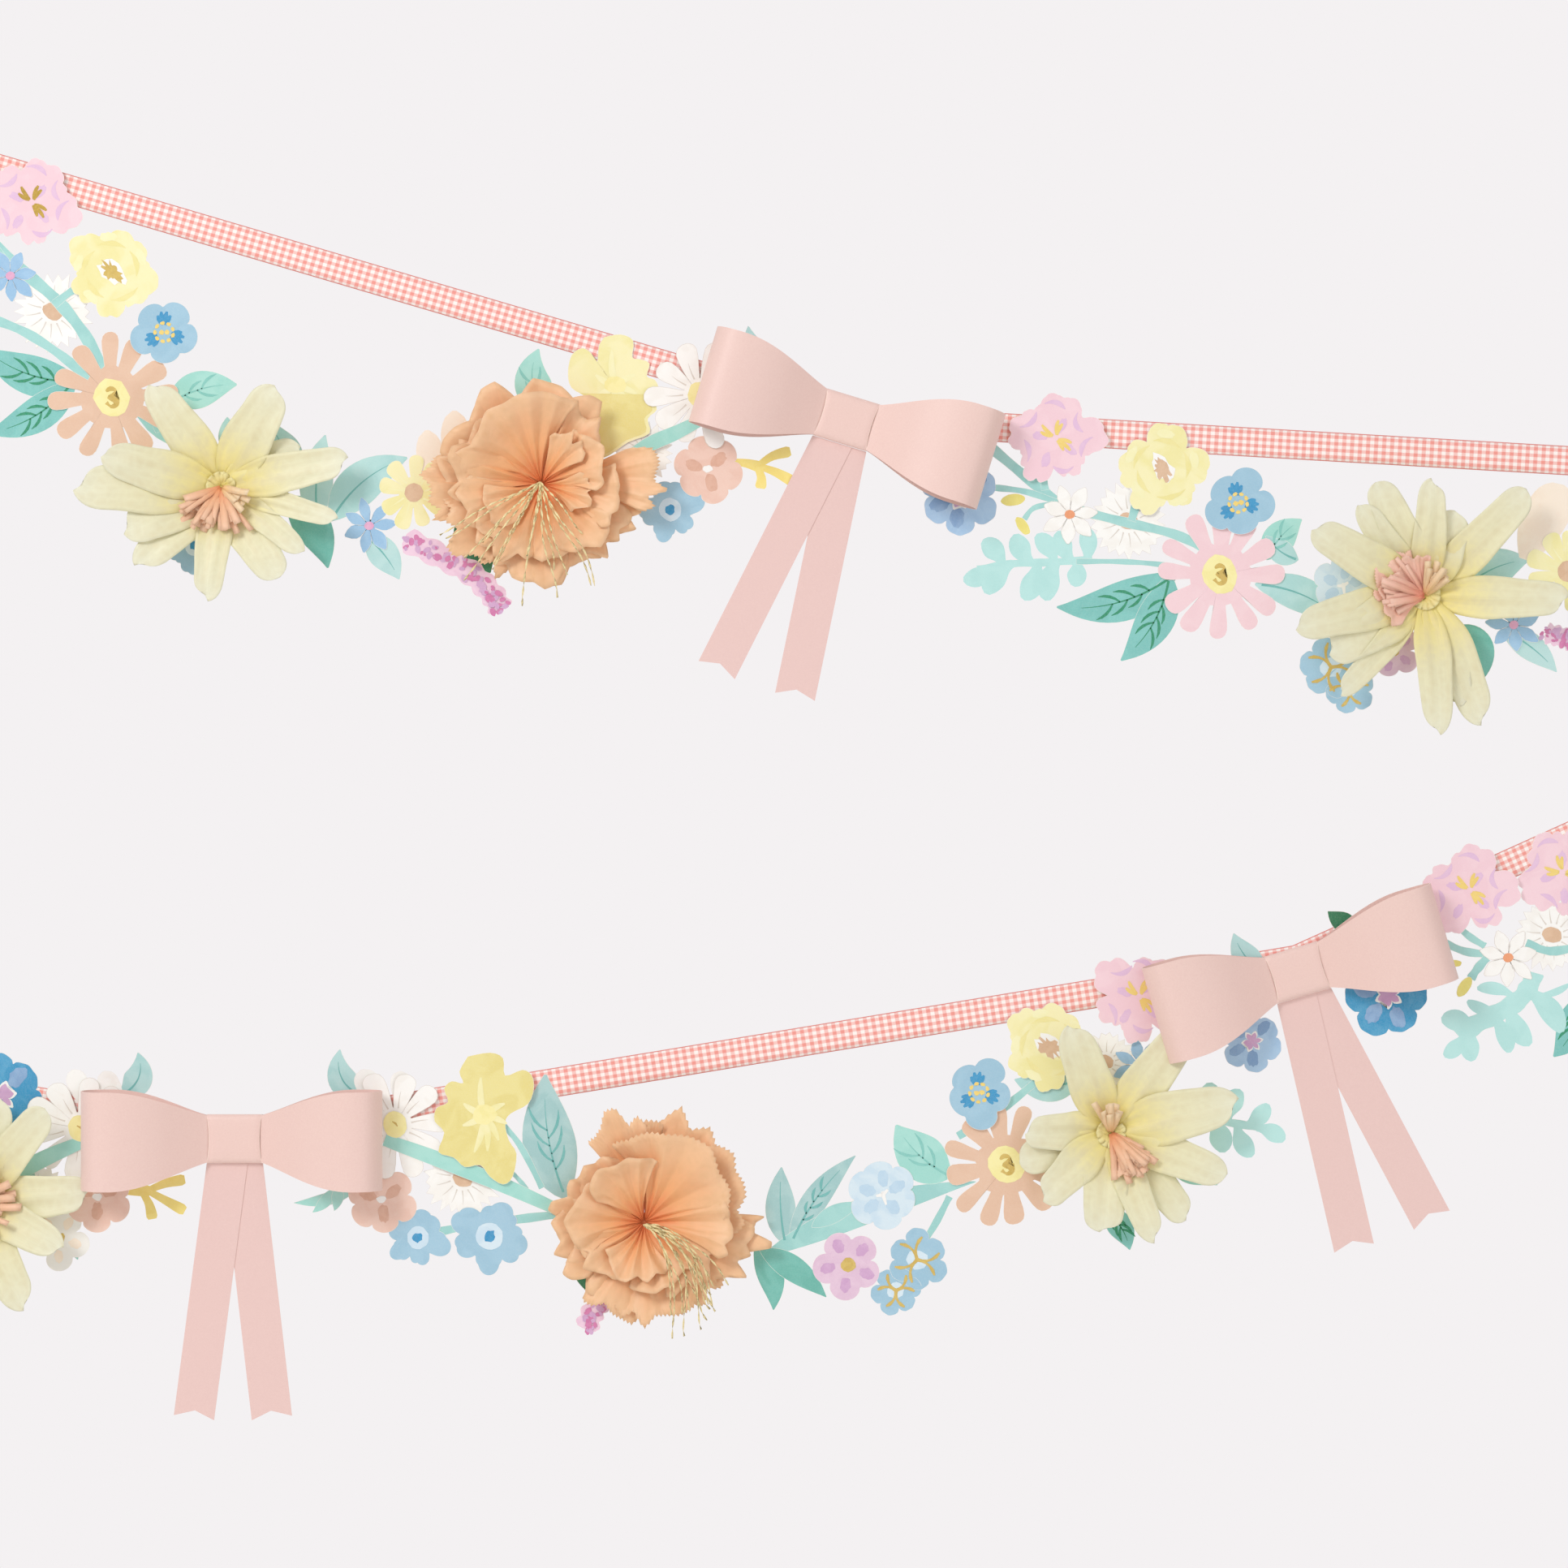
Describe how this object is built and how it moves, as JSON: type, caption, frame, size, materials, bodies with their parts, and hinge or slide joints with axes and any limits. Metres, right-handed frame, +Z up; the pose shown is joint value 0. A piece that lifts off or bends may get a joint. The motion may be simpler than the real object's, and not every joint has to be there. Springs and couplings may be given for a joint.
{
  "type": "flower and bow garland",
  "caption": "Paper garland: gingham ribbon in zigzag strands with card flower swags, tissue daisies, ruffled pompoms with gold tinsel and folded paper bows with hanging tails.",
  "frame": {"origin": "middle of the hanging loop at the upper left end of the ribbon", "axes": "+X to the right along the hanging garland, +Z up, -Y towards the viewer"},
  "size_m": [0.9065, 0.042, 0.6553],
  "materials": {
    "gingham_ribbon": "matte",
    "printed_card": "matte",
    "bow_paper": "matte",
    "foam": "matte",
    "cream_tissue": "matte",
    "coral_tissue": "matte",
    "peach_tissue": "matte",
    "gold_tinsel": "gloss",
    "pink_card": "matte",
    "yellow_card": "matte",
    "blue_card": "matte",
    "peach_card": "matte",
    "white_card": "matte"
  },
  "bodies": {
    "upper_left": {"bow_1_knot": "bow_paper", "bow_1_loops": "bow_paper", "foam_pads_upper_left": "foam", "ribbon_upper_left": "gingham_ribbon", "swag_a_base": "printed_card", "swag_a_blue_pansy": "blue_card", "swag_a_peach_daisy": "peach_card", "swag_a_peony": "pink_card", "swag_a_pompom": "peach_tissue", "swag_a_salmon_pansy": "peach_card", "swag_a_tinsel": "gold_tinsel", "swag_a_tissue_fringe": "coral_tissue", "swag_a_tissue_petals": "cream_tissue", "swag_a_white_daisy": "white_card", "swag_a_yellow_rose": "yellow_card"},
    "bow_1_tails": {"bow_1_left_tail": "bow_paper", "bow_1_right_tail": "bow_paper"},
    "lower_middle": {"bow_2_knot": "bow_paper", "bow_2_loops": "bow_paper", "foam_pads_lower_middle": "foam", "ribbon_lower_middle": "gingham_ribbon", "swag_d_base": "printed_card", "swag_d_blue_pansy": "blue_card", "swag_d_peach_daisy": "peach_card", "swag_d_peony": "pink_card", "swag_d_pompom": "peach_tissue", "swag_d_salmon_pansy": "peach_card", "swag_d_tinsel": "gold_tinsel", "swag_d_tissue_fringe": "coral_tissue", "swag_d_tissue_petals": "cream_tissue", "swag_d_white_daisy": "white_card", "swag_d_yellow_blossom": "yellow_card", "swag_d_yellow_rose": "yellow_card"},
    "bow_2_tails": {"bow_2_left_tail": "bow_paper", "bow_2_right_tail": "bow_paper"},
    "upper_right": {"bow_3_knot": "bow_paper", "bow_3_loops": "bow_paper", "foam_pads_upper_right": "foam", "ribbon_link": "gingham_ribbon", "ribbon_lower_right": "gingham_ribbon", "ribbon_upper_right": "gingham_ribbon", "swag_b_base": "printed_card", "swag_b_blue_pansy": "blue_card", "swag_b_bright_pansy": "blue_card", "swag_b_peony": "pink_card", "swag_b_pink_daisy": "pink_card", "swag_b_tissue_fringe": "coral_tissue", "swag_b_tissue_petals": "cream_tissue", "swag_b_yellow_rose": "yellow_card", "swag_e_base": "printed_card", "swag_e_peony": "pink_card"},
    "bow_3_tails": {"bow_3_left_tail": "bow_paper", "bow_3_right_tail": "bow_paper"},
    "lower_left": {"foam_pads_lower_left": "foam", "ribbon_lower_left": "gingham_ribbon", "swag_c_base": "printed_card", "swag_c_salmon_pansy": "peach_card", "swag_c_tissue_fringe": "coral_tissue", "swag_c_tissue_petals": "cream_tissue", "swag_c_white_daisy": "white_card"}
  },
  "joints": [
    {"name": "fold_at_bow_1", "type": "hinge", "parent": "upper_left", "child": "upper_right", "pos_m": [0.4508, -0.00445, -0.13282], "axis": [0.2924, 0, 0.9563], "range_deg": [0, 90]},
    {"name": "fold_at_bow_3", "type": "hinge", "parent": "upper_right", "child": "lower_middle", "pos_m": [0.68183, -0.00445, -0.41055], "axis": [0.284, 0, -0.9588], "range_deg": [0, 90]},
    {"name": "fold_at_bow_2", "type": "hinge", "parent": "lower_middle", "child": "lower_left", "pos_m": [0.13685, -0.00445, -0.50071], "axis": [0.1668, 0, -0.986], "range_deg": [0, 90]},
    {"name": "bow_1_tails_swing", "type": "hinge", "parent": "upper_left", "child": "bow_1_tails", "pos_m": [0.44704, -0.0057, -0.14592], "axis": [-0.9563, 0, 0.2924], "range_deg": [-20, 60]},
    {"name": "bow_2_tails_swing", "type": "hinge", "parent": "lower_middle", "child": "bow_2_tails", "pos_m": [0.13685, -0.0057, -0.51517], "axis": [-1, 0, 0], "range_deg": [-20, 60]},
    {"name": "bow_3_tails_swing", "type": "hinge", "parent": "upper_right", "child": "bow_3_tails", "pos_m": [0.68549, -0.0057, -0.42931], "axis": [-0.9588, 0, -0.284], "range_deg": [-20, 60]}
  ]
}
